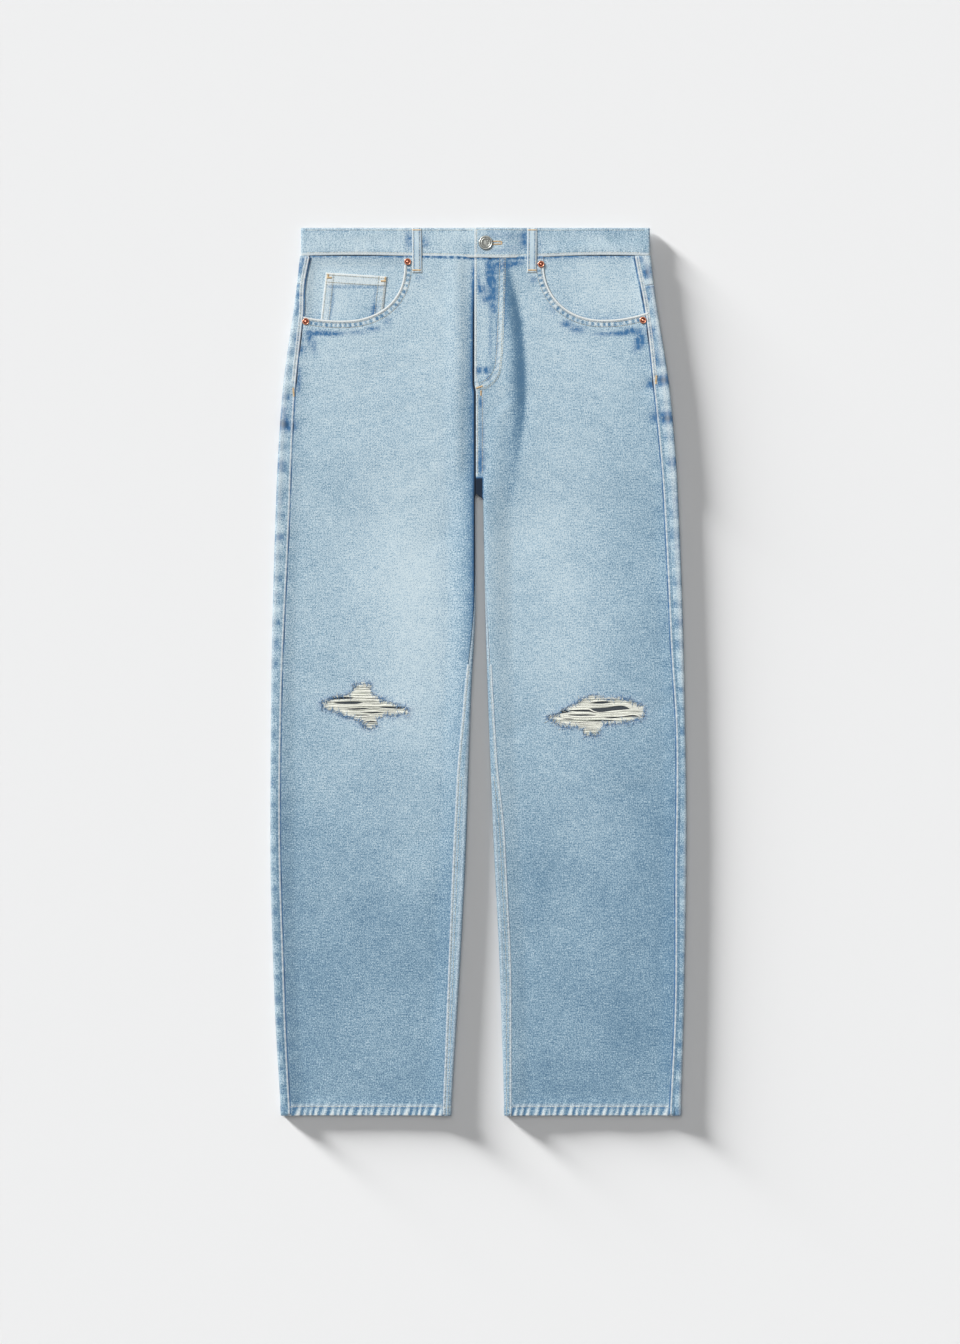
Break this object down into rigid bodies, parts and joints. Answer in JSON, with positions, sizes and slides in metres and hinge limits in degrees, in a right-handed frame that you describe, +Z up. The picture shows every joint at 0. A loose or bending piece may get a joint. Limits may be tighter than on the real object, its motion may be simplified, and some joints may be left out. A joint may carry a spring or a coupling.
{
  "type": "ripped jeans",
  "caption": "Light-blue washed straight jeans laid flat, front up, with scooped pockets, a coin pocket, a buttoned waistband and torn knees showing bared threads.",
  "frame": {"origin": "on the surface the garment lies on, under the centre of its outline", "axes": "+Y from the hems to the waist, +Z up from the surface through the front of the garment, +X to the side the waistband's upper end comes from"},
  "size_m": [0.5, 1.065, 0.0126],
  "materials": {
    "denim_front": "washed light-blue twill, brushed",
    "denim_back": "washed light-blue twill",
    "denim_inner": "washed light-blue twill",
    "denim_band": "washed light-blue twill, brushed",
    "bared_threads": "frayed ecru cotton yarn",
    "copper": "worn copper plate",
    "pewter": "dull pewter plate",
    "zip_tape": "woven tape with closed teeth"
  },
  "bodies": {
    "root": {"front_left": "denim_front", "front_right": "denim_front", "coin_pocket": "denim_front", "back_left": "denim_back", "back_right": "denim_back", "yoke_left": "denim_back", "yoke_right": "denim_back", "back_pocket_left": "denim_back", "back_pocket_right": "denim_back", "hip_facing_left": "denim_inner", "hip_facing_right": "denim_inner", "fly_underlap": "denim_inner", "waistband": "denim_band", "belt_loop_front_left": "denim_band", "belt_loop_front_right": "denim_band", "belt_loop_back_left": "denim_band", "belt_loop_back_right": "denim_band", "belt_loop_back_centre": "denim_band", "rip_threads_left": "bared_threads", "rip_threads_right": "bared_threads", "rivet_upper_left": "copper", "rivet_lower_left": "copper", "rivet_upper_right": "copper", "rivet_lower_right": "copper", "button": "pewter", "fly_zip": "zip_tape"}
  },
  "joints": []
}
